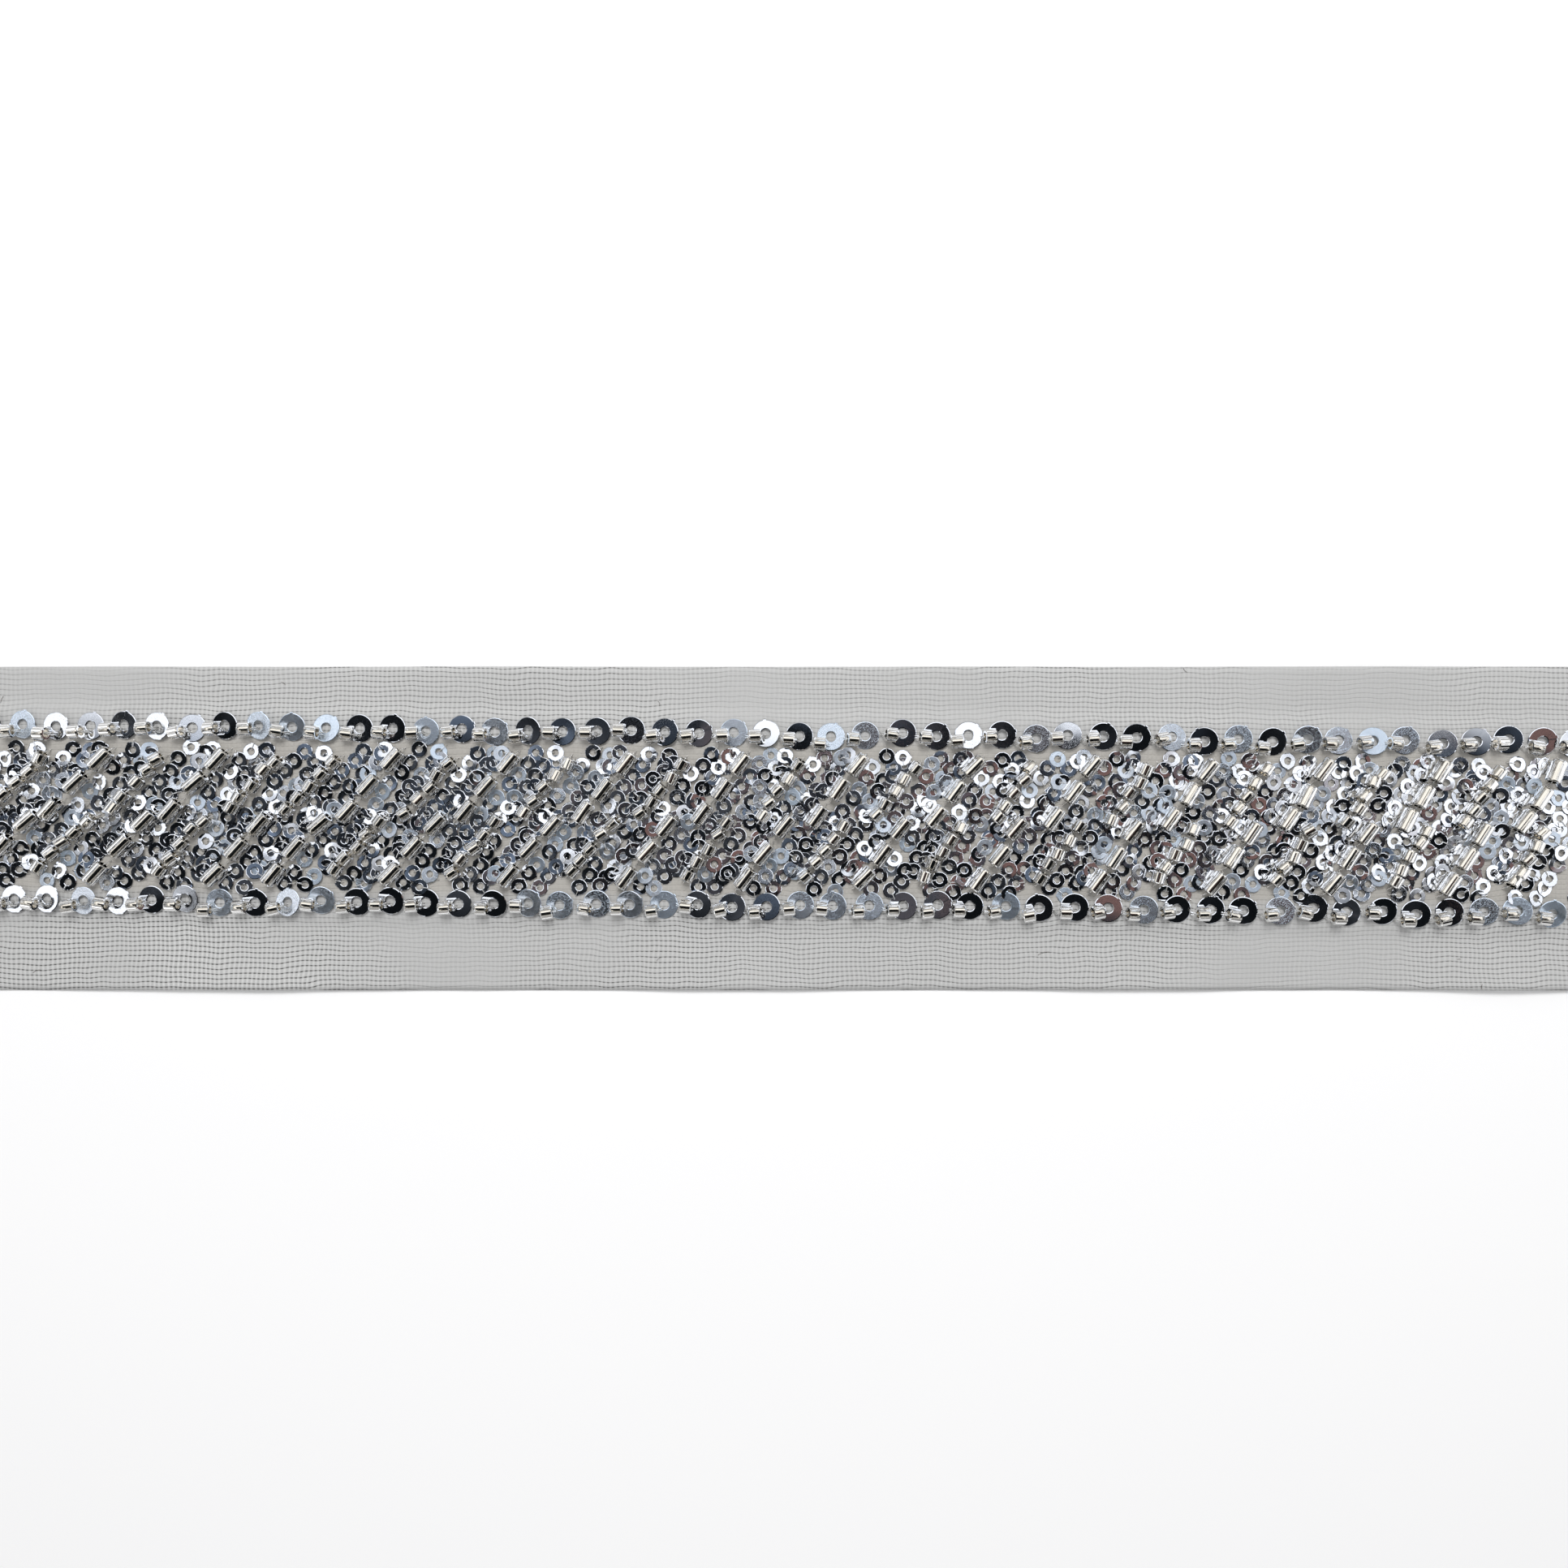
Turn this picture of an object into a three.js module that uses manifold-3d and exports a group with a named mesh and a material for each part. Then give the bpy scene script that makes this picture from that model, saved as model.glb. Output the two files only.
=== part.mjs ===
// A cut length of beaded sequin trim, lying flat with its right side up.
// A sheer woven tape carries two straight rows of large sequins, each sewn down with a short tube bead.
// Between the rows lie two bands of slanted columns: strings of bugle beads part blocks of small sequins,
// and each block is sewn round its own strings of short tube beads.
// Millimetres, +Z up. The origin is at the middle of the tape, on the surface that it lies on.
// +X runs along the tape and +Y across it.
import * as THREE from "three";
import { mergeVertices } from "three/addons/utils/BufferGeometryUtils.js";
import Module from "manifold-3d";

const wasm = await Module();
wasm.setup();

// Driving dimensions
const gap = 0.3; // clear space between neighbouring pieces
const smallestDetail = 0.01; // facets that stand out less than this are merged
const tape = { length: 300, width: 58, thickness: 1, cellsAlong: 24, cellsAcross: 8 };
const endMargin = 1.6; // bare tape left between the beadwork and each cut end

// The beadwork runs slightly askew on the tape, as it was sewn
const band = { offset: 1.5, turnDegrees: -0.49 };

// One row of large sequins on each side of the band
const largeSequin = { radius: 2.5, thickness: 0.9, sides: 8 };
const edgeRow = { offset: 15.4, pitch: 6.1, count: 48, wobble: 0.12, threadWidth: 0.6 };

// Glass tube beads, short and long
const tube = { radius: 1.3, sides: 6 };
const shortBead = { length: 2.1, perString: 5, rise: 2.22, backset: 2.05, sideset: 1 };
const bugle = { length: 4.3, perString: 3, rise: 4.25, pinch: 0.4 };

// Small sequins lie in slanted columns, two of them between neighbouring strings of beads
const sequinBlock = { thickness: 0.9, valley: 0.35, ridges: 2 };

// The strings stand a slot apart and lean over more towards the left end
const slot = { pitch: 10.45 };
const lean = { middleDegrees: 52, degreesPerMillimetre: 6 / 130 };

// The two bands of columns. Each letter is a slot from left to right: B a column of bugles,
// s a string of short beads. firstX is the middle of the top bead of the first slot.
const bands = [
  {
    name: "far",
    strings: "sBsBssBsBsBsBsBsBsBsBsBsBsB",
    firstX: -133.1,
    bugleTop: 9.9,
    shortTop: 9.6,
    from: 12.3,
    to: 0.25,
  },
  {
    name: "near",
    strings: "BsBsBBsBsBsBsBsBsBsBsBsBsBs",
    firstX: -136.05,
    bugleTop: -1.45,
    shortTop: -1,
    from: -0.25,
    to: -12.3,
  },
];

// Where the tape's bare margins lift off the surface: side is 1 for +Y and -1 for -Y
const puckers = [
  { x: -118, side: 1, lift: 0.5, halfLength: 26 },
  { x: -52, side: 1, lift: 0.8, halfLength: 34 },
  { x: 31, side: 1, lift: 0.45, halfLength: 28 },
  { x: 104, side: 1, lift: 0.9, halfLength: 36 },
  { x: -96, side: -1, lift: 0.7, halfLength: 38 },
  { x: -8, side: -1, lift: 0.5, halfLength: 30 },
  { x: 62, side: -1, lift: 0.6, halfLength: 27 },
  { x: 129, side: -1, lift: 1, halfLength: 24 },
];
const puckerStart = 21.5; // distance from the middle of the tape at which its margin can lift

const beadBottom = tape.thickness + gap;
const tubeMiddle = beadBottom + tube.radius;

const finish = {
  tape: new THREE.MeshStandardMaterial({ color: 0xc9c9c7, roughness: 0.85, metalness: 0 }),
  sequin: new THREE.MeshStandardMaterial({ color: 0xc4c8ce, roughness: 0.12, metalness: 1 }),
  bead: new THREE.MeshStandardMaterial({ color: 0xd6d3c8, roughness: 0.15, metalness: 0.8 }),
};

// Solids and meshes

function solidOf(geometry) {
  const bare = geometry.clone();
  bare.deleteAttribute("normal");
  bare.deleteAttribute("uv");
  const merged = mergeVertices(bare, 1e-4);
  return new wasm.Manifold(
    new wasm.Mesh({
      numProp: 3,
      vertProperties: merged.attributes.position.array,
      triVerts: new Uint32Array(merged.index.array),
    }),
  );
}

function geometryOf(solid) {
  const mesh = solid.getMesh();
  const geometry = new THREE.BufferGeometry();
  geometry.setAttribute("position", new THREE.BufferAttribute(mesh.vertProperties, 3));
  geometry.setIndex(new THREE.BufferAttribute(mesh.triVerts, 1));
  geometry.computeVertexNormals();
  return geometry;
}

function joined(geometries) {
  return geometries.map(solidOf).reduce((whole, piece) => whole.add(piece));
}

function tidied(solid) {
  return geometryOf(solid.simplify(smallestDetail));
}

function named(name, geometry, material) {
  const mesh = new THREE.Mesh(geometry, material);
  mesh.name = name;
  return mesh;
}

// The tape: a flat sheet whose bare margins lift here and there

function tapeLift(x, y) {
  const reach = Math.max(0, (Math.abs(y) - puckerStart) / (tape.width / 2 - puckerStart));
  let lift = 0;
  for (const pucker of puckers) {
    const along = (x - pucker.x) / pucker.halfLength;
    if (pucker.side * y > 0 && Math.abs(along) < 1) {
      lift += pucker.lift * reach * Math.cos((along * Math.PI) / 2) ** 2;
    }
  }
  return lift;
}

function tapeGeometry() {
  const { length, width, thickness, cellsAlong, cellsAcross } = tape;
  const geometry = new THREE.BoxGeometry(length, width, thickness, cellsAlong, cellsAcross, 1);
  const at = geometry.attributes.position;
  for (let i = 0; i < at.count; i++) {
    const share = at.getY(i) / (width / 2);
    const y = (Math.sign(share) * Math.sqrt(Math.abs(share)) * width) / 2; // closer rows at the margins
    at.setXYZ(i, at.getX(i), y, at.getZ(i) + thickness / 2 + tapeLift(at.getX(i), y));
  }
  return geometry;
}

// A tube bead lying along its string, with a flat side up

function tubeGeometry(length, x, y, leanAngle) {
  const geometry = new THREE.CylinderGeometry(tube.radius, tube.radius, length, tube.sides);
  geometry.rotateZ(-Math.PI / 2);
  geometry.rotateX(Math.PI / tube.sides);
  geometry.rotateZ(leanAngle);
  geometry.translate(x, y, tubeMiddle);
  return geometry;
}

// An edge row: large sequins on one running thread, with a short bead over each one's rim

function rowWobble(i, side) {
  return edgeRow.wobble * (Math.sin(1.7 * i + side) + 0.6 * Math.sin(0.6 * i + 2 * side));
}

// The outline of the sequins and thread, from the first sequin to the last and back
function rowOutline(centres) {
  const outline = new THREE.Shape();
  const halfThread = Math.asin(edgeRow.threadWidth / 2 / largeSequin.radius);
  const steps = largeSequin.sides / 2;
  const arc = (centre, from) => {
    for (let k = 0; k <= steps; k++) {
      const angle = from - halfThread - (k / steps) * (Math.PI - 2 * halfThread);
      const x = centre.x + largeSequin.radius * Math.cos(angle);
      const y = centre.y + largeSequin.radius * Math.sin(angle);
      if (outline.curves.length || outline.currentPoint.lengthSq()) {
        outline.lineTo(x, y);
      } else {
        outline.moveTo(x, y);
      }
    }
  };
  centres.forEach((centre) => arc(centre, Math.PI));
  [...centres].reverse().forEach((centre) => arc(centre, 0));
  outline.closePath();
  return outline;
}

function edgeRowSolid(side) {
  const centres = [];
  for (let i = 0; i < edgeRow.count; i++) {
    const x = (i - (edgeRow.count - 1) / 2) * edgeRow.pitch;
    centres.push(new THREE.Vector2(x, side * edgeRow.offset + rowWobble(i, side)));
  }
  const sequins = new THREE.ExtrudeGeometry(rowOutline(centres), {
    depth: largeSequin.thickness,
    bevelEnabled: false,
  });
  sequins.translate(0, 0, beadBottom);
  const beads = centres.map(({ x, y }) =>
    tubeGeometry(shortBead.length, x - shortBead.backset, y - shortBead.sideset, 0),
  );
  return joined([sequins, ...beads]);
}

// Slanted columns

function leanAt(x) {
  return THREE.MathUtils.degToRad(lean.middleDegrees + lean.degreesPerMillimetre * x);
}

function slotX(row, i) {
  return row.firstX + i * slot.pitch;
}

// How far a column has moved sideways once it has run down by drop
function sideways(drop, x) {
  return -drop / Math.tan(leanAt(x));
}

// Three bugles on one thread, pinched together between their ends
function bugleColumnGeometry(row, i) {
  const x = slotX(row, i);
  const angle = leanAt(x);
  const step = bugle.rise / Math.sin(angle);
  const start = -bugle.length / 2;
  const profile = [new THREE.Vector2(0, start)];
  for (let k = 0; k < bugle.perString; k++) {
    const from = start + k * step;
    profile.push(new THREE.Vector2(tube.radius, from));
    profile.push(new THREE.Vector2(tube.radius, from + bugle.length));
    if (k < bugle.perString - 1) {
      profile.push(new THREE.Vector2(bugle.pinch, from + (bugle.length + step) / 2));
    }
  }
  profile.push(new THREE.Vector2(0, start + (bugle.perString - 1) * step + bugle.length));
  const geometry = new THREE.LatheGeometry(profile, tube.sides);
  geometry.rotateZ(Math.PI / 2);
  geometry.rotateX(Math.PI / tube.sides);
  geometry.rotateZ(angle);
  geometry.translate(x, row.bugleTop, tubeMiddle);
  return geometry;
}

// Where the ridges and valleys of a block lie, left to right, between two slots.
// A block stops short of a column of bugles and passes under its own strings of short beads.
function ridgeStops(row, first, last) {
  const isBugle = (i) => row.strings[i] === "B";
  const clear = (i) => (isBugle(i) ? (tube.radius + gap) / Math.sin(leanAt(slotX(row, i))) : 0);
  const steps = 2 * sequinBlock.ridges;
  const stops = [slotX(row, first) + clear(first)];
  for (let i = first; i < last; i++) {
    const from = slotX(row, i) + clear(i);
    const to = slotX(row, i + 1) - clear(i + 1);
    for (let k = 1; k <= steps; k++) {
      stops.push(from + ((to - from) * k) / steps);
    }
  }
  return stops;
}

// A slab of small sequins, with a ridge down it for each column of them
function slabGeometry(row, first, last) {
  const stops = ridgeStops(row, first, last);
  const profile = new THREE.Shape();
  profile.moveTo(stops[0], 0);
  profile.lineTo(stops.at(-1), 0);
  for (let k = stops.length - 1; k >= 0; k--) {
    const drop = k % 2 ? 0 : sequinBlock.valley;
    profile.lineTo(stops[k], sequinBlock.thickness - drop);
  }
  profile.closePath();
  const geometry = new THREE.ExtrudeGeometry(profile, {
    depth: row.from - row.to,
    bevelEnabled: false,
  });
  geometry.rotateX(Math.PI / 2);
  geometry.translate(0, row.from, beadBottom);
  const at = geometry.attributes.position;
  for (let i = 0; i < at.count; i++) {
    at.setX(i, at.getX(i) + sideways(row.bugleTop - at.getY(i), at.getX(i)));
  }
  return geometry;
}

function shortStringGeometries(row, i) {
  const x = slotX(row, i);
  const beads = [];
  for (let k = 0; k < shortBead.perString; k++) {
    const drop = k * shortBead.rise;
    const along = sideways(row.bugleTop - row.shortTop + drop, x);
    beads.push(tubeGeometry(shortBead.length, x + along, row.shortTop - drop, leanAt(x)));
  }
  return beads;
}

// The part of the tape that beadwork may cover, as a box in the band's own frame
function coveredSolid() {
  const length = tape.length - 2 * endMargin;
  return solidOf(new THREE.BoxGeometry(length, tape.width, 4 * tubeMiddle));
}

// The lanes that a band's strings of beads run in, with the gap all round them
function lanesSolid(row) {
  const lanes = [...row.strings].map((kind, i) => {
    const bead = kind === "B" ? bugle : shortBead;
    const top = kind === "B" ? row.bugleTop : row.shortTop;
    const x = slotX(row, i);
    const drop = ((bead.perString - 1) * bead.rise) / 2;
    const length = (2 * drop) / Math.sin(leanAt(x)) + bead.length + 2 * gap;
    const box = new THREE.BoxGeometry(length, 2 * (tube.radius + gap), 4 * tubeMiddle);
    box.rotateZ(leanAt(x));
    box.translate(x + sideways(row.bugleTop - top + drop, x), top - drop, 0);
    return box;
  });
  return joined(lanes);
}

// The blocks of one band: each runs from a bugle column, or the end of the tape, to the next one,
// and leaves room for the strings that reach in from the other band
function blockSolids(row, other) {
  const room = coveredSolid().subtract(lanesSolid(other));
  const beyond = row.strings.length + 1;
  const solids = [];
  let first = -2;
  for (let last = 0; last <= beyond; last++) {
    if (row.strings[last] === "B" || last === beyond) {
      const pieces = [slabGeometry(row, first, last)];
      for (let i = Math.max(first, 0); i < last; i++) {
        if (row.strings[i] === "s") {
          pieces.push(...shortStringGeometries(row, i));
        }
      }
      solids.push(joined(pieces).intersect(room));
      first = last;
    }
  }
  return solids;
}

// The whole trim

function numbered(stem, i) {
  return `${stem}_${String(i + 1).padStart(2, "0")}`;
}

function sequinTrim() {
  const trim = new THREE.Group();
  trim.add(named("ground_tape", tapeGeometry(), finish.tape));

  const beadwork = new THREE.Group();
  beadwork.position.y = band.offset;
  beadwork.rotation.z = THREE.MathUtils.degToRad(band.turnDegrees);
  trim.add(beadwork);

  beadwork.add(named("edge_row_far", tidied(edgeRowSolid(1)), finish.sequin));
  beadwork.add(named("edge_row_near", tidied(edgeRowSolid(-1)), finish.sequin));

  for (const [n, row] of bands.entries()) {
    const other = bands[1 - n];
    const columns = [...row.strings].flatMap((kind, i) => (kind === "B" ? [i] : []));
    columns.forEach((slotIndex, i) => {
      const geometry = bugleColumnGeometry(row, slotIndex);
      beadwork.add(named(numbered(`bugles_${row.name}`, i), geometry, finish.bead));
    });
    blockSolids(row, other).forEach((solid, i) => {
      const geometry = tidied(solid);
      beadwork.add(named(numbered(`sequin_block_${row.name}`, i), geometry, finish.sequin));
    });
  }
  return trim;
}

export default sequinTrim();
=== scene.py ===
import math

import bpy
import numpy as np
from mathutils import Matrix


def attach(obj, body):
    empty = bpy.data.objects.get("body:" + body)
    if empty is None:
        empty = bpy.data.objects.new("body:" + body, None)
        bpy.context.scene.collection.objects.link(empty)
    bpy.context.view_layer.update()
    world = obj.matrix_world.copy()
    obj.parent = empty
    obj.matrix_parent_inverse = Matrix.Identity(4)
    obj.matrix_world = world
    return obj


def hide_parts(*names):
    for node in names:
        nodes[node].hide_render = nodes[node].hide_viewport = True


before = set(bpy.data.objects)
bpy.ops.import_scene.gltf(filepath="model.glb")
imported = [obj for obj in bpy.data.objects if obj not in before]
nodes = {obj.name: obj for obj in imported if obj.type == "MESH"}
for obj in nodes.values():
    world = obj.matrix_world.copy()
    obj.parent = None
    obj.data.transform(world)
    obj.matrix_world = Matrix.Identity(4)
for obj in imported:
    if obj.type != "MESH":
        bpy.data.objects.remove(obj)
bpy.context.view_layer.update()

mm = 0.001
rng = np.random.default_rng(seed=29)
scene = bpy.context.scene

# The camera looks straight down, from a little behind the middle of the tape
view = {"wide": 282, "height": 210, "behind": 7.96, "sensor": 36, "clipStart": 10}
cameraData = bpy.data.cameras.new("camera")
camera = bpy.data.objects.new("camera", cameraData)
scene.collection.objects.link(camera)
camera.location = (0, view["behind"] * mm, view["height"] * mm)
cameraData.sensor_width = view["sensor"]
cameraData.lens = view["sensor"] * view["height"] / view["wide"]
cameraData.clip_start = view["clipStart"] * mm
scene.camera = camera


# Points go in as rows of x, y, z and faces as rows of four point numbers. marks are values for
# each point, and flat holds the two map coordinates of each corner of each face. Faces that meet
# at less than smoothUnder degrees are shaded as one.
def meshPiece(name, points, faces, material, smoothUnder=40, flat=None, marks=None):
    mesh = bpy.data.meshes.new(name)
    mesh.from_pydata((points * mm).tolist(), [], faces.tolist())
    mesh.update()
    if flat is not None:
        layer = mesh.uv_layers.new(name="flat")
        layer.data.foreach_set("uv", flat.astype(np.float32).ravel())
    for word, values in (marks or {}).items():
        attribute = mesh.attributes.new(word, "FLOAT", "POINT")
        attribute.data.foreach_set("value", np.asarray(values, dtype=np.float32))
    mesh.polygons.foreach_set("use_smooth", np.ones(len(mesh.polygons), dtype=bool))
    mesh.set_sharp_from_angle(angle=math.radians(smoothUnder))
    mesh.materials.append(material)
    piece = bpy.data.objects.new(name, mesh)
    scene.collection.objects.link(piece)
    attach(piece, "root")
    return piece


# A closed profile carried once round an axis: point (i, j) stands at angle 2 pi i / count
# and is the profile's point j, its first number along the axis and its second the radius.
# The third result is the map of each face's corners: the way along the axis, and the angle.
def turned(profile, count, angle=None):
    profile = np.asarray(profile, dtype=float)
    if angle is None:
        angle = np.arange(count) * 2 * np.pi / count
    along, radius = profile[:, 0], profile[:, 1]
    points = np.stack(
        [
            np.broadcast_to(along, (count, len(profile))),
            radius * np.cos(angle)[:, None],
            radius * np.sin(angle)[:, None],
        ],
        axis=-1,
    ).reshape(-1, 3)
    i, j = np.meshgrid(np.arange(count), np.arange(len(profile)), indexing="ij")
    nextI, nextJ = (i + 1) % count, (j + 1) % len(profile)
    profilePoint = np.stack([j, j, nextJ, nextJ], -1)
    faces = np.stack([i, nextI, nextI, i], -1) * len(profile) + profilePoint
    cornerAngle = np.stack([i, i + 1, i + 1, i], -1) * 2 * np.pi / count
    corners = np.stack([along[profilePoint], cornerAngle], -1)
    return points, faces.reshape(-1, 4), corners.reshape(-1, 4, 2)


# The faces of one shape for every copy: its point numbers, plus pointCount for each copy before
def repeated(faces, pointCount, copies):
    return (faces[None] + np.arange(copies)[:, None, None] * pointCount).reshape(-1, 4)


# Turning matrices for whole arrays of angles, about x, y or z, from the angles' cosines and sines
def turn(axis, angle):
    angle = np.asarray(angle, dtype=float)
    cos, sin, one, none = np.cos(angle), np.sin(angle), np.ones_like(angle), np.zeros_like(angle)
    rows = {
        "x": [one, none, none, none, cos, -sin, none, sin, cos],
        "y": [cos, none, sin, none, one, none, -sin, none, cos],
        "z": [cos, -sin, none, sin, cos, none, none, none, one],
    }[axis]
    return np.stack(rows, -1).reshape(angle.shape + (3, 3))


# Each copy is the shape's points turned by that copy's matrix and moved to its place
def placed(points, turns, places):
    if points.ndim == 2:
        points = np.broadcast_to(points, (len(places),) + points.shape)
    return np.einsum("nij,nvj->nvi", turns, points) + places[:, None]


offUpright = (0.13, 0.21, 1.0)  # no thread runs this way
tiny = 1e-9


# Four-sided threads along many paths at once, each path a row of points: at every point the
# section stands square to the way from the point before to the point after.
def threads(paths, radius):
    count, steps = paths.shape[:2]
    way = np.gradient(paths, axis=1)
    way /= np.linalg.norm(way, axis=-1, keepdims=True) + tiny
    side = np.cross(way, offUpright)
    side /= np.linalg.norm(side, axis=-1, keepdims=True) + tiny
    up = np.cross(side, way)
    angle = np.arange(4) * np.pi / 2 + np.pi / 4
    ring = side[:, :, None] * np.cos(angle)[:, None] + up[:, :, None] * np.sin(angle)[:, None]
    points = paths[:, :, None] + ring * radius
    i, j = np.meshgrid(np.arange(steps - 1), np.arange(4), indexing="ij")
    nextJ = (j + 1) % 4
    walls = np.stack([i * 4 + j, i * 4 + nextJ, (i + 1) * 4 + nextJ, (i + 1) * 4 + j], -1)
    last = (steps - 1) * 4
    ends = np.array([[3, 2, 1, 0], [last, last + 1, last + 2, last + 3]])
    faces = np.concatenate([walls.reshape(-1, 4), ends])
    return points.reshape(-1, 3), repeated(faces, steps * 4, count)


# 0 up to low and 1 from high on, and between them 3 t squared less 2 t cubed
def smoothStep(low, high, value):
    t = np.clip((value - low) / (high - low), 0, 1)
    return t * t * (3 - 2 * t)


# The beadwork lies slightly askew on the tape
band = {"offset": 1.55, "turn": math.radians(-0.58)}


# From the band's own x and y to the tape's: turned by the band's slant, then moved by its offset
def onTape(x, y):
    cos, sin = math.cos(band["turn"]), math.sin(band["turn"])
    return x * cos - y * sin, x * sin + y * cos + band["offset"]


# The tape: raised a little under the beadwork by the stitches on its back, low at its margins,
# which lift off again in long soft puckers. side is 1 towards +Y and -1 towards -Y.
tape = {
    "length": 300,
    "width": 58,
    "thickness": 0.22,
    "cellsAlong": 200,
    "cellsAcross": 58,
    "smoothUnder": 60,
    "raised": 0.7,
    "low": 0.22,
    "bandEdge": 17.6,
    "slope": 2.6,
    "longRipple": {"height": 0.05, "wave": 5.3, "sway": 0.8, "swayWave": 17},
    "shortRipple": {"height": 0.035, "wave": 2.9, "waveAcross": 6},
    "rippleInBand": 0.35,
    "puckerStart": 21.5,
    "puckerShare": 0.85,
    "puckers": [
        {"x": -118, "side": 1, "lift": 0.5, "half": 26},
        {"x": -52, "side": 1, "lift": 0.8, "half": 34},
        {"x": 31, "side": 1, "lift": 0.45, "half": 28},
        {"x": 104, "side": 1, "lift": 0.9, "half": 36},
        {"x": -96, "side": -1, "lift": 0.7, "half": 38},
        {"x": -8, "side": -1, "lift": 0.5, "half": 30},
        {"x": 62, "side": -1, "lift": 0.6, "half": 27},
        {"x": 129, "side": -1, "lift": 1.0, "half": 24},
    ],
}


# A slow ripple along the tape that hurries and lags, plus a short one that runs across it aslant
def tapeRipple(x, y):
    slow, short = tape["longRipple"], tape["shortRipple"]
    swaying = np.sin(x / slow["wave"] + slow["sway"] * np.sin(x / slow["swayWave"]))
    slanting = np.sin(x / short["wave"] + y / short["waveAcross"])
    return slow["height"] * swaying + short["height"] * slanting


# Height of the tape's middle layer: the raised band, sloping down to the margins, plus the ripple,
# weaker in the band, plus each pucker as a squared cosine that grows towards the edge
def tapeHeight(x, y):
    across = np.abs(y - band["offset"] - x * math.tan(band["turn"]))
    inBand = 1 - smoothStep(tape["bandEdge"], tape["bandEdge"] + tape["slope"], across)
    calm = tape["rippleInBand"]
    height = tape["low"] + (tape["raised"] - tape["low"]) * inBand
    height = height + tapeRipple(x, y) * (calm + (1 - calm) * (1 - inBand))
    reach = (np.abs(y) - tape["puckerStart"]) / (tape["width"] / 2 - tape["puckerStart"])
    reach = np.maximum(0, reach)
    for pucker in tape["puckers"]:
        along = np.clip((x - pucker["x"]) / pucker["half"], -1, 1)
        lift = tape["puckerShare"] * pucker["lift"] * reach * np.cos(along * np.pi / 2) ** 2
        height = height + np.where(pucker["side"] * y > 0, lift, 0)
    return height


tapeTop = tape["raised"] + tape["thickness"] / 2

# Slanted strings of beads, a slot apart, that lean over more towards the left end. In each band
# B is a string of bugles and s one of short beads.
strings = {"pitch": 10.36, "lean": 52, "leanPerLength": 6 / 130}
bands = [
    {
        "strings": "sBsBssBsBsBsBsBsBsBsBsBsBsB",
        "firstX": -132.0,
        "bugleTop": 9.8,
        "shortTop": 9.6,
        "top": 11.55,
    },
    {
        "strings": "BsBsBBsBsBsBsBsBsBsBsBsBsBs",
        "firstX": -134.6,
        "bugleTop": -1.35,
        "shortTop": -1.0,
        "top": -0.6,
    },
]
bandEnd = 147.6  # nothing is sewn on past this, either way


# Which of a band's slots hold a string of one kind
def slotsOf(row, letter):
    return [slot for slot, kind in enumerate(row["strings"]) if kind == letter]


# Tube beads. away, turn and pitch are how far one bead strays from its place, its string's
# direction and the level, and each lies lift to lift + liftSpread above the tape. An edge bead
# sits back from its sequin's middle and below it. A string bead has its strings' letter, and the
# name of the height in each band that its first bead takes.
edgeBead = {
    "length": 2.1,
    "radius": 1.28,
    "back": 2.05,
    "below": 0.75,
    "awayAlong": 0.16,
    "awayAcross": 0.28,
    "lift": 0.4,
    "liftSpread": 0.15,
    "turn": 6,
    "pitch": 6,
}
shortBead = {
    "letter": "s",
    "top": "shortTop",
    "length": 2.1,
    "radius": 1.26,
    "perString": 5,
    "rise": 2.2,
    "away": 0.24,
    "lift": 0.12,
    "liftSpread": 0.16,
    "turn": 10,
    "pitch": 8,
}
bugleBead = {
    "letter": "B",
    "top": "bugleTop",
    "length": 4.15,
    "radius": 1.3,
    "perString": 3,
    "rise": 4.5,
    "away": 0.16,
    "lift": 0.22,
    "liftSpread": 0.16,
    "turn": 3.5,
    "pitch": 3,
}


# The strings' lean at x: the lean in the middle, plus leanPerLength for each millimetre of x
def leanAt(x):
    return np.radians(strings["lean"] + strings["leanPerLength"] * np.asarray(x, dtype=float))


# A point down a string: its slot's x, moved sideways by the drop from the top bugle over tan(lean)
def downString(row, slot, y):
    x = row["firstX"] + slot * strings["pitch"]
    return x - (row["bugleTop"] - y) / np.tan(leanAt(x))


# Random amounts with a normal spread, cut off at a little over twice the usual one
def spread(size, amount, cutOff=2.2):
    return rng.normal(0, 1, size).clip(-cutOff, cutOff) * amount


def node(tree, kind, **values):
    made = tree.nodes.new(kind)
    for word, value in values.items():
        setattr(made, word, value)
    return made


# A number or a colour is set on the socket, and anything else is an output that is linked to it
def put(tree, socket, value):
    if isinstance(value, (int, float)):
        socket.default_value = value
    elif isinstance(value, tuple):
        socket.default_value = (*value, 1)
    else:
        tree.links.new(value, socket)


def newGroup(name, inputs, outputs):
    group = bpy.data.node_groups.new(name, "ShaderNodeTree")
    for label, kind, value in inputs:
        socket = group.interface.new_socket(name=label, in_out="INPUT", socket_type=kind)
        if value is not None:
            socket.default_value = value
    for label, kind in outputs:
        group.interface.new_socket(name=label, in_out="OUTPUT", socket_type=kind)
    return group, group.nodes.new("NodeGroupInput"), group.nodes.new("NodeGroupOutput")


# One step of arithmetic on numbers or outputs
def math2(tree, operation, first, second=None, clamp=False):
    made = node(tree, "ShaderNodeMath", operation=operation, use_clamp=clamp)
    put(tree, made.inputs[0], first)
    if second is not None:
        put(tree, made.inputs[1], second)
    return made.outputs[0]


# All the factors multiplied together, one after another
def product(tree, first, *others):
    for other in others:
        first = math2(tree, "MULTIPLY", first, other)
    return first


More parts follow.
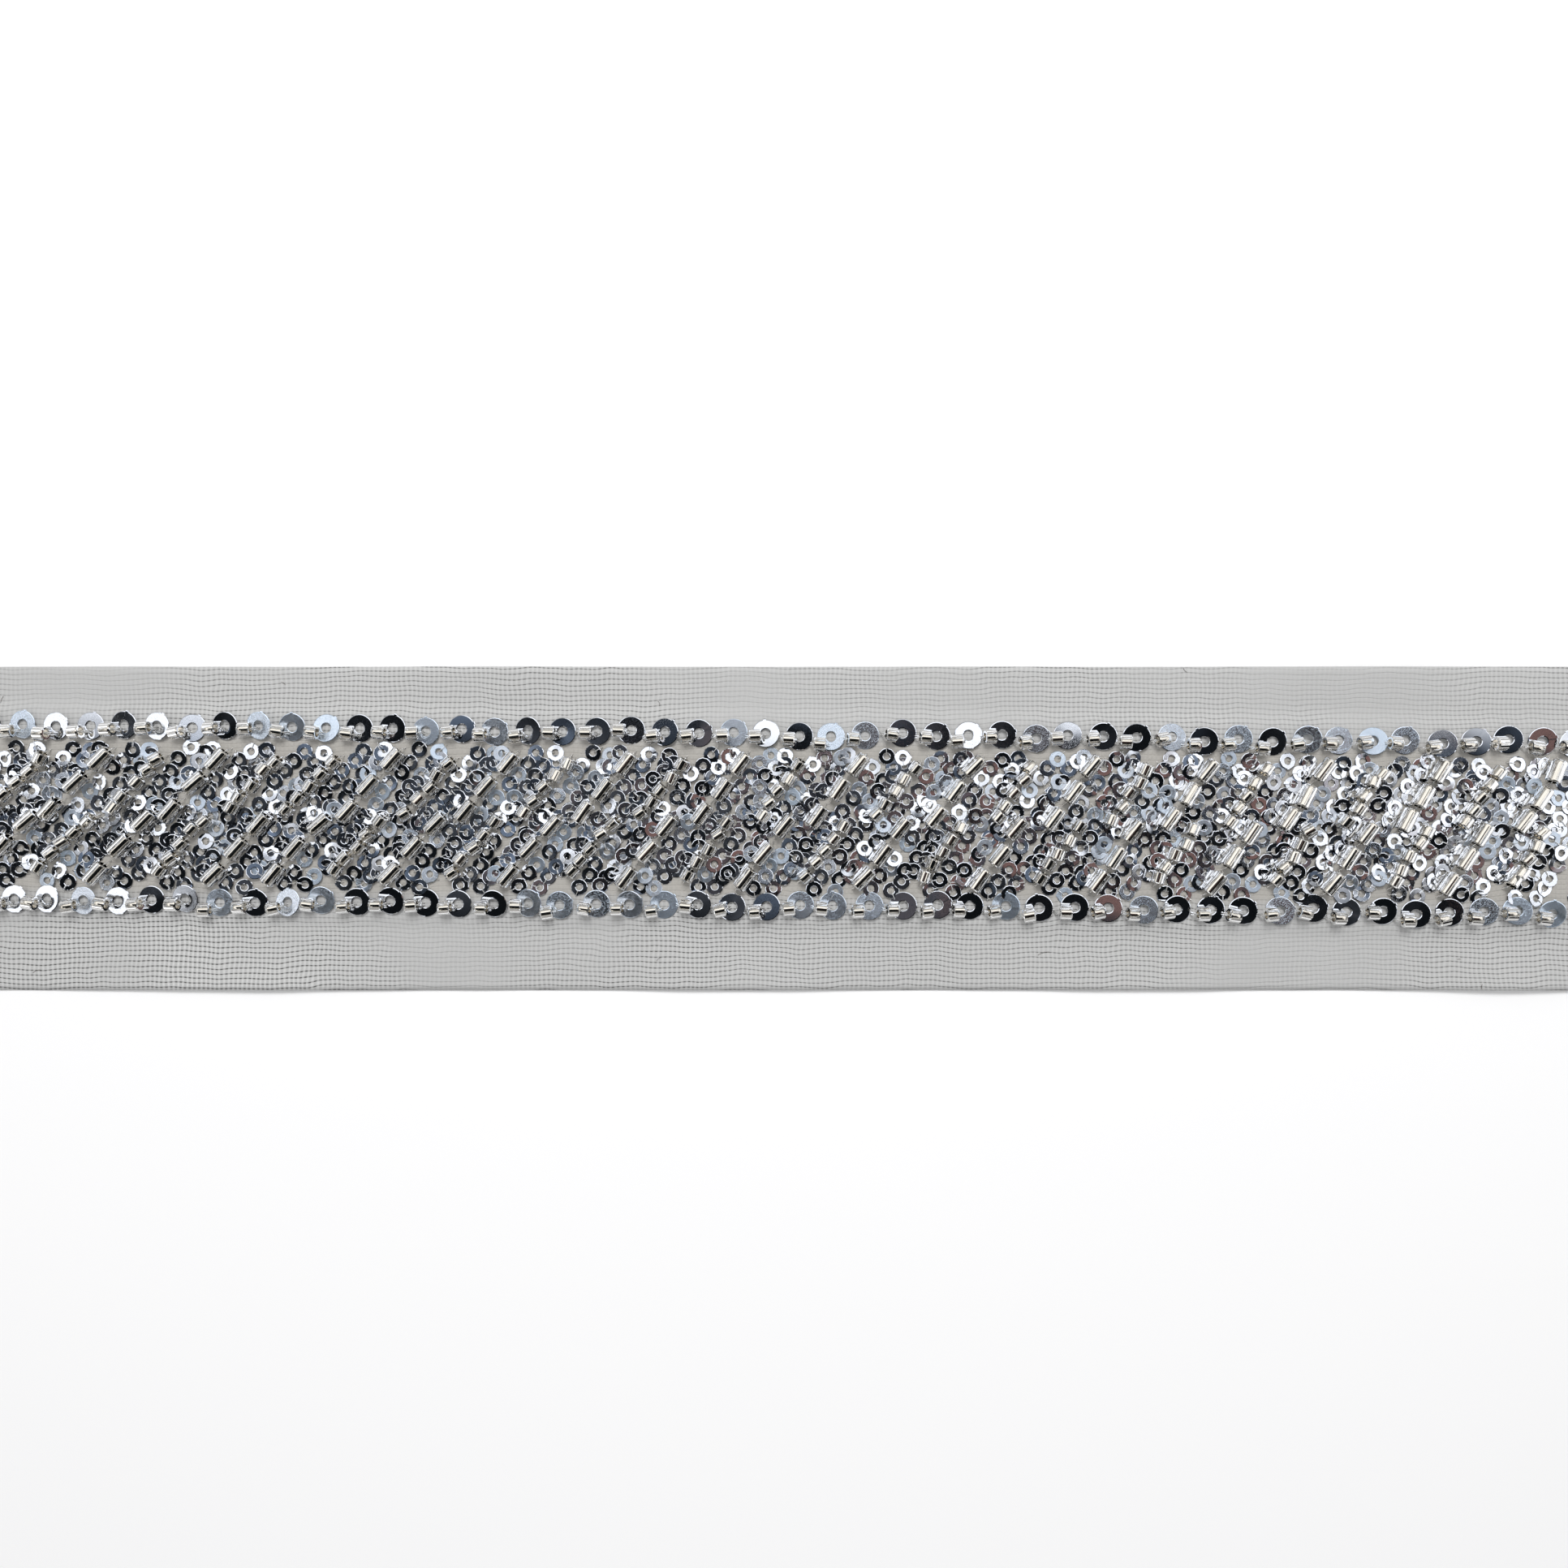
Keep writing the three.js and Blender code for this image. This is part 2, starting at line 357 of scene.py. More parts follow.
# A value moved from one range to another, in a soft step or a straight line
def ranged(tree, value, low, high, toLow=0.0, toHigh=1.0, smooth=True):
    made = node(tree, "ShaderNodeMapRange", interpolation_type="SMOOTHSTEP" if smooth else "LINEAR")
    tree.links.new(value, made.inputs["Value"])
    ends = {"From Min": low, "From Max": high, "To Min": toLow, "To Max": toHigh}
    for label, number in ends.items():
        made.inputs[label].default_value = number
    return made.outputs[0]


def mixedColor(tree, factor, first, second):
    made = node(tree, "ShaderNodeMix", data_type="RGBA")
    for number, value in ((0, factor), (6, first), (7, second)):  # the factor and the two colours
        put(tree, made.inputs[number], value)
    return made.outputs[2]


def noise(tree, vector, scale, detail=2):
    made = node(tree, "ShaderNodeTexNoise")
    put(tree, made.inputs["Vector"], vector)
    put(tree, made.inputs["Scale"], scale)
    made.inputs["Detail"].default_value = detail
    return made.outputs["Fac"]


# A vector turned about z and stretched
def stretched(tree, vector, scale, angle=0):
    made = node(tree, "ShaderNodeMapping")
    made.inputs["Rotation"].default_value = (0, 0, angle)
    made.inputs["Scale"].default_value = scale
    tree.links.new(vector, made.inputs["Vector"])
    return made.outputs[0]


def xAndY(tree, vector):
    made = node(tree, "ShaderNodeSeparateXYZ")
    tree.links.new(vector, made.inputs[0])
    return made.outputs["X"], made.outputs["Y"]


# Fine scuffs: a speckle and long thin scratches, both strongest where Wear is high.
# Dull is a mask for roughness and Height goes to a bump.
def buildScuffGroup():
    look = {
        "speckleScale": 5.0,
        "speckleDetail": 3,
        "speckleShare": 0.8,
        "scratchTurn": 0.7,
        "scratchStretch": (1, 14, 1),
        "scratchScale": 0.9,
        "scratchStart": (0.56, 0.66),
    }
    group, entry, result = newGroup(
        "fineScuffs",
        [
            ("Vector", "NodeSocketVector", None),
            ("Scale", "NodeSocketFloat", 1.0),
            ("Wear", "NodeSocketFloat", 0.5),
        ],
        [("Dull", "NodeSocketFloat"), ("Height", "NodeSocketFloat")],
    )
    vector, scale, wear = (entry.outputs[label] for label in ("Vector", "Scale", "Wear"))
    speckleScale = product(group, scale, look["speckleScale"])
    speckle = noise(group, vector, speckleScale, look["speckleDetail"])
    scratchPlace = stretched(group, vector, look["scratchStretch"], look["scratchTurn"])
    scratch = noise(group, scratchPlace, product(group, scale, look["scratchScale"]))
    scratches = ranged(group, scratch, *look["scratchStart"])
    both = math2(group, "ADD", product(group, speckle, look["speckleShare"]), scratches)
    put(group, result.inputs["Dull"], math2(group, "MULTIPLY", both, wear, clamp=True))
    put(group, result.inputs["Height"], product(group, both, wear))
    return group


# The ribbed weave: one row of thin dark dashes to a rib, a painted shade in the grooves between
# the ribs, crossed by pale threads that show most between the rows, lightened by a painted
# highlight where they catch the light. Both waver, slowly and in a fine quiver, and their strength
# fades in and out over the tape. The first output is the mask for the painted shade of the dashes,
# Tick the one for the pale threads and their painted highlight, and Height goes to a bump.
def buildRibGroup():
    look = {
        "waverScale": 0.035,
        "waver": 3.2,
        "quiverScale": 0.17,
        "grooveShadeEdge": (0.17, 0.03),
        "crossEdge": (0.33, 0.14),
        "grooveShadeUnderCross": 0.62,
        "tickBetweenRibs": (0.1, 0.36, 0.32, 0.55),
        "fadeScale": 0.022,
        "fade": (0.36, 0.6, 0.12, 1.0),
    }
    group, entry, result = newGroup(
        "ribbedWeave",
        [
            ("Vector", "NodeSocketVector", None),
            ("Rib", "NodeSocketFloat", 0.89),
            ("Tick", "NodeSocketFloat", 0.84),
            ("Strength", "NodeSocketFloat", 1.0),
        ],
        [("Line", "NodeSocketFloat"), ("Tick", "NodeSocketFloat"), ("Height", "NodeSocketFloat")],
    )
    vector = entry.outputs["Vector"]
    x, y = xAndY(group, vector)
    waver = product(group, noise(group, vector, look["waverScale"], 1), look["waver"])
    quiver = noise(group, vector, look["quiverScale"], 1)
    shiftedX = math2(group, "ADD", x, quiver)
    shiftedY = math2(group, "ADD", math2(group, "ADD", y, waver), quiver)

    # how far from the middle of its repeat a point lies, from 0 to a half
    def fromMiddle(value, pitch):
        repeat = math2(group, "FRACT", math2(group, "DIVIDE", value, pitch))
        return math2(group, "ABSOLUTE", math2(group, "SUBTRACT", repeat, 0.5))

    fromRib = fromMiddle(shiftedY, entry.outputs["Rib"])
    fromTick = fromMiddle(shiftedX, entry.outputs["Tick"])
    cross = ranged(group, fromTick, *look["crossEdge"])
    # the dashes of painted shade in the grooves, weaker where a pale thread crosses
    grooveShade = ranged(group, fromRib, *look["grooveShadeEdge"])
    grooveShade = product(group, grooveShade, ranged(group, cross, 0.0, 1.0, 1.0, look["grooveShadeUnderCross"]))
    # the pale crossing threads, which carry a painted highlight
    paleTickAndHighlight = product(group, cross, ranged(group, fromRib, *look["tickBetweenRibs"]))
    fade = ranged(group, noise(group, vector, look["fadeScale"]), *look["fade"])
    amount = product(group, fade, entry.outputs["Strength"])
    put(group, result.inputs["Line"], product(group, grooveShade, amount))
    put(group, result.inputs["Tick"], product(group, paleTickAndHighlight, amount))
    put(group, result.inputs["Height"], math2(group, "SUBTRACT", paleTickAndHighlight, grooveShade))
    return group


scuffGroup = buildScuffGroup()
ribGroup = buildRibGroup()


def newMaterial(name):
    material = bpy.data.materials.new(name)
    material.use_nodes = True
    tree = material.node_tree
    return material, tree, tree.nodes["Principled BSDF"]


# The piece's own map, in millimetres, but on a bead its second number is the angle round it
def flatMap(tree):
    return node(tree, "ShaderNodeUVMap", uv_map="flat").outputs[0]


def objectPlace(tree):
    return node(tree, "ShaderNodeTexCoord").outputs["Object"]


def useGroup(tree, group, **values):
    made = node(tree, "ShaderNodeGroup", node_tree=group)
    for label, value in values.items():
        put(tree, made.inputs[label], value)
    return made.outputs


def bumped(tree, shader, height, distance, strength):
    bump = node(tree, "ShaderNodeBump")
    bump.inputs["Strength"].default_value = strength
    bump.inputs["Distance"].default_value = distance * mm
    tree.links.new(height, bump.inputs["Height"])
    tree.links.new(bump.outputs[0], shader.inputs["Normal"])


# Ribbed and faintly clouded, plainer and browner under the beadwork, whose band is found by the
# distance from its slanted middle line. The ribs' painted shade and painted highlight show most
# along the near margin's left half.
def tapeMaterial():
    look = {
        "pale": (0.49, 0.49, 0.485),
        "clouded": (0.46, 0.46, 0.455),
        "cloudScale": 0.09,
        "cloudDetail": 4,
        "cloud": (0.3, 0.7, 0.0, 0.35),
        # painted shade in the grooves between the ribs
        "grooveShade": (0.12, 0.12, 0.115),
        "grooveShadeShare": 0.95,
        # the pale crossing threads' own colour, lightened by a painted highlight
        "paleTickAndHighlight": (0.80, 0.80, 0.79),
        "paleTickAndHighlightShare": 0.8,
        "ribPitch": 0.892,
        "tickPitch": 0.835,
        "strength": 0.85,
        "moreNearLeft": 1.1,
        "strongLeftOf": (5, -60),
        "strongBelow": (-12, -18),
        "sewn": (0.44, 0.42, 0.385),
        "sewnShare": 0.9,
        "sewnEdge": (15.5 * mm, 12.5 * mm),
        "alphaAtTick": (0.0, 1.0, 0.97, 0.8),
        "bump": 0.06,
        "bumpStrength": 0.7,
    }
    material, tree, shader = newMaterial("sheer ribbed tape")
    flat = flatMap(tree)
    flatX, flatY = xAndY(tree, flat)
    leftHalf = ranged(tree, flatX, *look["strongLeftOf"])
    nearLeft = product(tree, leftHalf, ranged(tree, flatY, *look["strongBelow"]))
    more = product(tree, nearLeft, look["moreNearLeft"])
    strength = math2(tree, "ADD", more, look["strength"])
    pitches = {"Rib": look["ribPitch"], "Tick": look["tickPitch"]}
    ribs = useGroup(tree, ribGroup, Vector=flat, Strength=strength, **pitches)
    cloud = noise(tree, flat, look["cloudScale"], look["cloudDetail"])
    color = mixedColor(tree, ranged(tree, cloud, *look["cloud"]), look["pale"], look["clouded"])
    # painted shade along the grooves between the ribs
    color = mixedColor(tree, product(tree, ribs["Line"], look["grooveShadeShare"]), color, look["grooveShade"])
    # the pale crossing threads, lightened by a painted highlight where they catch the light
    color = mixedColor(tree, product(tree, ribs["Tick"], look["paleTickAndHighlightShare"]), color, look["paleTickAndHighlight"])
    x, y = xAndY(tree, objectPlace(tree))
    slant = product(tree, x, math.tan(band["turn"]))
    fromBand = math2(tree, "SUBTRACT", math2(tree, "SUBTRACT", y, slant), band["offset"] * mm)
    sewn = ranged(tree, math2(tree, "ABSOLUTE", fromBand), *look["sewnEdge"])
    color = mixedColor(tree, product(tree, sewn, look["sewnShare"]), color, look["sewn"])
    put(tree, shader.inputs["Base Color"], color)
    shader.inputs["Roughness"].default_value = 0.72
    shader.inputs["Sheen Weight"].default_value = 0.15
    shader.inputs["Sheen Roughness"].default_value = 0.4
    put(tree, shader.inputs["Alpha"], ranged(tree, ribs["Tick"], *look["alphaAtTick"]))
    bumped(tree, shader, ribs["Height"], look["bump"], look["bumpStrength"])
    return material


# Mirror-bright film. Each sequin has its own wear: a worn one is duller, bluer and scuffed.
def filmMaterial(name, scale, dullest):
    look = {
        "silver": (0.76, 0.79, 0.85),
        "worn": (0.68, 0.83, 1.0),
        "wornFrom": (0.2, 0.55),
        "brightest": 0.03,
        "bump": 0.014,
        "bumpStrength": 0.7,
    }
    material, tree, shader = newMaterial(name)
    wear = node(tree, "ShaderNodeAttribute", attribute_name="wear").outputs["Fac"]
    scuffs = useGroup(tree, scuffGroup, Vector=flatMap(tree), Scale=scale, Wear=wear)
    worn = ranged(tree, scuffs["Dull"], *look["wornFrom"])
    put(tree, shader.inputs["Base Color"], mixedColor(tree, worn, look["silver"], look["worn"]))
    shader.inputs["Metallic"].default_value = 1
    roughness = ranged(tree, wear, 0.0, 1.0, look["brightest"], dullest, smooth=False)
    put(tree, shader.inputs["Roughness"], roughness)
    bumped(tree, shader, scuffs["Height"], look["bump"], look["bumpStrength"])
    return material


def glassMaterial():
    look = {
        "clear": (0.94, 0.925, 0.895),
        "tinged": (0.87, 0.85, 0.805),
        "swirlScale": 1.4,
        "roughness": (0.35, 0.7, 0.0, 0.02),
        "bump": 0.004,
        "bumpStrength": 0.5,
    }
    material, tree, shader = newMaterial("clear bead glass")
    swirl = noise(tree, flatMap(tree), look["swirlScale"])
    put(tree, shader.inputs["Base Color"], mixedColor(tree, swirl, look["clear"], look["tinged"]))
    put(tree, shader.inputs["Roughness"], ranged(tree, swirl, *look["roughness"]))
    shader.inputs["Transmission Weight"].default_value = 1
    shader.inputs["IOR"].default_value = 1.5
    bumped(tree, shader, swirl, look["bump"], look["bumpStrength"])
    return material


# Silver with a grain drawn out along the bead
def liningMaterial():
    look = {
        "bright": (0.94, 0.92, 0.88),
        "tarnished": (0.68, 0.64, 0.57),
        "grainStretch": (0.25, 2.2, 1),
        "grainScale": 1.0,
        "roughness": (0.3, 0.7, 0.02, 0.05),
        "bump": 0.003,
        "bumpStrength": 0.5,
    }
    material, tree, shader = newMaterial("silver lining")
    grainPlace = stretched(tree, flatMap(tree), look["grainStretch"])
    grain = noise(tree, grainPlace, look["grainScale"], 1)
    color = mixedColor(tree, grain, look["bright"], look["tarnished"])
    put(tree, shader.inputs["Base Color"], color)
    shader.inputs["Metallic"].default_value = 1
    put(tree, shader.inputs["Roughness"], ranged(tree, grain, *look["roughness"]))
    bumped(tree, shader, grain, look["bump"], look["bumpStrength"])
    return material


def threadMaterial():
    look = {
        "clear": (0.96, 0.95, 0.92),
        "milky": (0.88, 0.87, 0.84),
        "cloudScale": 900,
        "roughness": (0.3, 0.7, 0.08, 0.22),
    }
    material, tree, shader = newMaterial("clear nylon thread")
    cloud = noise(tree, objectPlace(tree), look["cloudScale"])
    put(tree, shader.inputs["Base Color"], mixedColor(tree, cloud, look["clear"], look["milky"]))
    put(tree, shader.inputs["Roughness"], ranged(tree, cloud, *look["roughness"]))
    shader.inputs["Transmission Weight"].default_value = 0.8
    shader.inputs["IOR"].default_value = 1.45
    return material


def fibreMaterial():
    look = {"dark": (0.05, 0.045, 0.04), "dusty": (0.2, 0.18, 0.16), "cloudScale": 700}
    material, tree, shader = newMaterial("stray fibre")
    cloud = noise(tree, objectPlace(tree), look["cloudScale"])
    put(tree, shader.inputs["Base Color"], mixedColor(tree, cloud, look["dark"], look["dusty"]))
    shader.inputs["Roughness"].default_value = 0.7
    return material


cloth = tapeMaterial()
largeFilm = filmMaterial("large sequin film", scale=2.4, dullest=0.3)
smallFilm = filmMaterial("small sequin film", scale=1.6, dullest=0.42)
glass = glassMaterial()
lining = liningMaterial()
nylon = threadMaterial()
fibre = fibreMaterial()
print("materials ready")


# A flat grid, x along and y across, lifted to tapeHeight
def buildTape():
    x = np.linspace(-tape["length"] / 2, tape["length"] / 2, tape["cellsAlong"] + 1)
    y = np.linspace(-tape["width"] / 2, tape["width"] / 2, tape["cellsAcross"] + 1)
    gridX, gridY = np.meshgrid(x, y, indexing="ij")
    points = np.stack([gridX, gridY, tapeHeight(gridX, gridY)], -1).reshape(-1, 3)
    i, j = np.meshgrid(np.arange(len(x) - 1), np.arange(len(y) - 1), indexing="ij")
    here, right = i * len(y) + j, (i + 1) * len(y) + j
    faces = np.stack([here, right, right + 1, here + 1], -1).reshape(-1, 4)
    flat = points[faces][..., :2]
    piece = meshPiece(
        "woven_tape", points, faces, cloth, tape["smoothUnder"], flat=flat
    )
    thick = piece.modifiers.new("thickness", "SOLIDIFY")
    thick.thickness = tape["thickness"] * mm
    thick.offset = 0
    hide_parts("ground_tape")
    return piece


wovenTape = buildTape()
print("tape ready")


# What all sequins share: the wear of worn and of fresh ones, how widely their places on the scuff
# pattern are spread, and the tab's foot and the first even step, in half widths of the tab
film = {
    "wornWear": (0.5, 1),
    "freshWear": (0, 0.12),
    "mapReach": 400,
    "smoothUnder": 20,
    "tabFoot": 1.1,
    "evenFrom": 2.6,
}


# A flat ring of film, its hole and rim bevelled: the profile's points are the hole's foot, the two
# edges of the flat top, and the rim's foot. The first four steps round it close in on the tab
# that the punch leaves on the rim.
def filmRing(shape):
    outer, inner, thickness, bevel = (
        shape[word] for word in ("outer", "inner", "thickness", "bevel")
    )
    profile = [(0, inner), (thickness, inner + bevel), (thickness, outer - bevel), (0, outer)]
    half = shape["tabWide"] / 2 / outer
    foot, start = half * film["tabFoot"], half * film["evenFrom"]
    rest = np.linspace(start, 2 * np.pi - start, shape["sides"] - 4)
    angle = np.concatenate([[-foot, -half, half, foot], rest])
    points, faces, _ = turned(profile, len(angle), angle)
    return points[:, [1, 2, 0]], faces


tabRim = np.array([6, 7, 10, 11])  # the profile's two outer points at the tab's two inner steps


# Rings bent about one line through their middle: z grows with the squared distance from that line.
# The tab's rim points are pushed outwards on those rings that have one.
def sequins(name, shape, places, tilts, spins, material):
    tabs = (rng.uniform(size=len(places)) < shape["tabbed"]) * 1.0
    points, faces = filmRing(shape)
    count = len(places)
    ring = np.repeat(points[None], count, axis=0)
    ring[:, tabRim, :2] *= 1 + shape["tab"] / shape["outer"] * tabs[:, None, None]
    bend = spread(count, shape["bend"])
    heading = rng.uniform(0, np.pi, count)
    fromLine = ring[..., 0] * np.cos(heading)[:, None] + ring[..., 1] * np.sin(heading)[:, None]
    ring[..., 2] += bend[:, None] * fromLine**2
    turns = turn("x", tilts[:, 0]) @ turn("y", tilts[:, 1]) @ turn("z", spins)
    isWorn = rng.uniform(size=count) < shape["worn"]
    wornWear = rng.uniform(*film["wornWear"], count)
    freshWear = rng.uniform(*film["freshWear"], count)
    wear = np.where(isWorn, wornWear, freshWear)
    flat = ring[:, faces, :2] + rng.uniform(0, film["mapReach"], (count, 1, 1, 2))
    return meshPiece(
        name,
        placed(ring, turns, places).reshape(-1, 3),
        repeated(faces, len(points), count),
        material,
        film["smoothUnder"],
        flat=flat,
        marks={"wear": np.repeat(wear, len(points))},
    )


# How far a tilted sequin's rim stands above its middle
def rimReach(shape, tilts):
    return shape["outer"] * np.hypot(np.sin(tilts[:, 0]), np.sin(tilts[:, 1]))


# Angles are in degrees here. tilt is how far one sequin strays about x and y from the row's lean,
# and spin is the row's spin and how far one strays from it.
largeSequin = {
    "outer": 2.5,
    "inner": 0.9,
    "thickness": 0.07,
    "bevel": 0.12,
    "sides": 30,
    "tab": 0.2,
    "tabWide": 0.5,
    "tabbed": 0.75,
    "bend": 0.003,
    "worn": 0.3,
    "count": 48,
    "rows": [
        {"side": 1, "pitch": 6.037, "shift": -0.45},
        {"side": -1, "pitch": 6.105, "shift": 0.05},
    ],
    "row": 15.35,
    "narrowing": -0.0013,
    "awayAlong": 0.16,
    "awayAcross": 0.22,
    "endGap": 2.6,
    "towardsNear": -2.5,
    "towardsLeft": -7.0,
    "tilt": (3.8, 4),
    "spin": (50, 32),
    "lift": 0.1,
}


# Two rows, one along each edge of the band: sequin i stands i pitches from the row's first, and
# the rows draw together a little towards the right
def buildEdgeRows():
    places, tilts, spins = [], [], []
    aboutX, aboutY = np.radians(largeSequin["tilt"])
    spin, spinAway = np.radians(largeSequin["spin"])
    count, endX = largeSequin["count"], bandEnd - largeSequin["endGap"]
    for row in largeSequin["rows"]:
        x = (np.arange(count) - (count - 1) / 2) * row["pitch"] + row["shift"]
        x = np.clip(x + spread(count, largeSequin["awayAlong"]), -endX, endX)
        y = row["side"] * (largeSequin["row"] + largeSequin["narrowing"] * x)
        y = y + spread(count, largeSequin["awayAcross"])
        places.append(np.stack(onTape(x, y), -1))
        tiltX = spread(count, aboutX) - math.radians(largeSequin["towardsNear"])
        tiltY = spread(count, aboutY) + math.radians(largeSequin["towardsLeft"])
        tilts.append(np.stack([tiltX, tiltY], -1))
        spins.append(spin + spread(count, spinAway))
    places, tilts, spins = map(np.concatenate, (places, tilts, spins))
    height = tapeTop + largeSequin["lift"] + rimReach(largeSequin, tilts)
    places = np.column_stack([places, height])
    piece = sequins("large_sequins", largeSequin, places, tilts, spins, largeFilm)
    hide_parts("edge_row_far", "edge_row_near")
    return places


# The columns are given as shares of the strings' pitch. sway is the lean along the tape in
# degrees, and columnSway, besideSway and besideBugleSway are each set's share of it.
smallSequin = {
    "outer": 1.5,
    "inner": 0.63,
    "thickness": 0.06,
    "bevel": 0.1,
    "sides": 16,
    "tab": 0.17,
    "tabWide": 0.4,
    "tabbed": 0.6,
    "bend": 0.012,
    "worn": 0.15,
    "columns": (0.31, 0.66),
    "perColumn": 7,
    "drop": 1.93,
    "secondLower": 0.35,
    "slotsBefore": 2,
    "slotsPast": 4,
    "columnSway": 1.0,
    "beside": (-1.7, 0.5),
    "besideSway": -1.6,
    "besideBugle": (-2.1, 0.7),
    "bugleStep": 2.1,
    "besideBugleSway": 1.2,
    "awayAlong": 0.3,
    "awayAcross": 0.24,
    "endGap": 1.6,
    "tilt": 4.6,
    "towardsNear": 0.5,
    "sway": 3.2,
    "lift": 0.06,
    "liftSpread": 0.28,
}


# Two columns between neighbouring strings, one sequin a drop below the other like shingles, and
# more beside the beads: rows of x, y and the share of the sway
def smallSequinSpots(row):
    look = smallSequin
    slots = np.arange(-look["slotsBefore"], len(row["strings"]) + look["slotsPast"])
    down = np.arange(look["perColumn"])
    slot, column, down = np.meshgrid(slots, look["columns"], down, indexing="ij")
    second = column == look["columns"][1]
    y = row["top"] - look["drop"] * down - look["secondLower"] * second
    sway = np.where(second, look["columnSway"], -look["columnSway"])
    spots = [np.stack([downString(row, slot + column, y), y, sway], -1).reshape(-1, 3)]
    # one more beside each short bead, up and to its left, and two beside each bugle
    step, perBugle = look["bugleStep"], bugleBead["perString"] * 2
    besides = (
        ("beside", "s", row["shortTop"], shortBead["rise"], shortBead["perString"]),
        ("besideBugle", "B", row["bugleTop"] + step / 2, step, perBugle),
    )
    for beside, letter, top, step, count in besides:
        slot, down = np.meshgrid(slotsOf(row, letter), np.arange(count), indexing="ij")
        y = top - step * down
        x = downString(row, slot, y) + look[beside][0]
        sway = np.full(slot.shape, look[beside + "Sway"])
        spots.append(np.stack([x, y + look[beside][1], sway], -1).reshape(-1, 3))
    return np.concatenate(spots)


def buildSmallSequins():
    look = smallSequin
    x, y, sway = np.concatenate([smallSequinSpots(row) for row in bands]).T
    x = x + spread(len(x), look["awayAlong"])
    y = y + spread(len(y), look["awayAcross"])
    kept = np.abs(x) < bandEnd - look["endGap"]
    x, y, sway = x[kept], y[kept], sway[kept]
    count, tilt = len(x), math.radians(look["tilt"])
    # turning about x moves the reflection across the tape, and about y along it
    tiltX = spread(count, tilt) + math.radians(look["towardsNear"])
    tiltY = spread(count, tilt) + math.radians(look["sway"]) * sway
    tilts = np.stack([tiltX, tiltY], -1)
    height = tapeTop + look["lift"] + rimReach(look, tilts)
    height = height + rng.uniform(0, look["liftSpread"], count)
    places = np.column_stack([*onTape(x, y), height])
    spins = rng.uniform(0, 2 * np.pi, count)
    piece = sequins("small_sequins", look, places, tilts, spins, smallFilm)
    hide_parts(*[name for name in nodes if name.startswith("sequin_block")])
    return places, tilts


largePlaces = buildEdgeRows()
smallPlaces, smallTilts = buildSmallSequins()
print("sequins ready:", len(largePlaces), "large and", len(smallPlaces), "small")


# The beads' own sections: a bored glass tube and a silver lining between its wall and its bore
bead = {
    "bore": 0.79,
    "chamfer": 0.17,
    "sides": 14,
    "lining": 0.84,
    "liningInner": 0.72,
    "liningSides": 14,
    "liningShort": 0.08,
    "mapReach": 300,
}


# The glass: a bored tube with its outer ends chamfered, its axis along x
def glassTube(length, radius):
    half, cut = length / 2, bead["chamfer"]
    profile = [
        (-half, bead["bore"]),
        (-half, radius - cut),
        (-half + cut, radius),
        (half - cut, radius),
        (half, radius - cut),
        (half, bead["bore"]),
    ]
    points, faces, corners = turned(profile, bead["sides"])
    return points, faces[:, ::-1], corners[:, ::-1]


# The lining: a thin silver tube that shows through the glass and inside the bore
def liningTube(length):
    half = length / 2 - bead["liningShort"]
    profile = [
        (-half, bead["liningInner"]),
        (-half, bead["lining"]),
        (half, bead["lining"]),
        (half, bead["liningInner"]),
    ]
    points, faces, corners = turned(profile, bead["liningSides"])
    return points, faces[:, ::-1], corners[:, ::-1]


# Beads of one kind, the glass and the lining each one piece: each bead is rolled about its own
# axis, pitched, then headed along its string
def beadPieces(name, shape, places, headings, nodeNames):
    count = len(places)
    pitches = spread(count, math.radians(shape["pitch"]))
    roll = rng.uniform(0, 2 * np.pi, count)
    turns = turn("z", headings) @ turn("y", -pitches) @ turn("x", roll)
    shells = (
        ("glass", glassTube(shape["length"], shape["radius"]), glass),
        ("lining", liningTube(shape["length"]), lining),
    )
    for suffix, (points, faces, corners), material in shells:
        piece = meshPiece(
            f"{name}_{suffix}",
            placed(points, turns, places).reshape(-1, 3),
            repeated(faces, len(points), count),
            material,
            flat=corners[None] + rng.uniform(0, bead["mapReach"], (count, 1, 1, 2)),
        )
        piece.visible_shadow = material is not glass  # light falls through the glass
        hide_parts(*nodeNames)
    return turns


def beadHeight(shape, count):
    return tapeTop + shape["lift"] + shape["radius"] + rng.uniform(0, shape["liftSpread"], count)


# One bead over each large sequin's rim, back from its middle and a little below it
def buildEdgeBeads():
    count = len(largePlaces)
    back = edgeBead["back"] + spread(count, edgeBead["awayAlong"])
    below = edgeBead["below"] + spread(count, edgeBead["awayAcross"])
    x, y = largePlaces[:, 0] - back, largePlaces[:, 1] - below
    places = np.column_stack([x, y, beadHeight(edgeBead, count)])
    headings = spread(count, math.radians(edgeBead["turn"]))
    rows = ("edge_row_far", "edge_row_near")
    return places, beadPieces("edge_beads", edgeBead, places, headings, rows)


# Every string of one kind, in both bands: bead i lies down its string, i times rise below the top
# one, and heads the way that the string leans
def buildStrings(name, shape, nodeNames):
    x, y = [], []
    for row in bands:
        slots, down = slotsOf(row, shape["letter"]), np.arange(shape["perString"])
        slot, down = np.meshgrid(slots, down, indexing="ij")
        rowY = row[shape["top"]] - shape["rise"] * down
        x.append(downString(row, slot, rowY).ravel())
        y.append(rowY.ravel())
    x, y = np.concatenate(x), np.concatenate(y)
    heading = leanAt(x) + band["turn"]
    count = len(x)
    x, y = x + spread(count, shape["away"]), y + spread(count, shape["away"])
    places = np.column_stack([*onTape(x, y), beadHeight(shape, count)])
    heading = heading + spread(count, math.radians(shape["turn"]))
    return places, beadPieces(name, shape, places, heading, nodeNames)


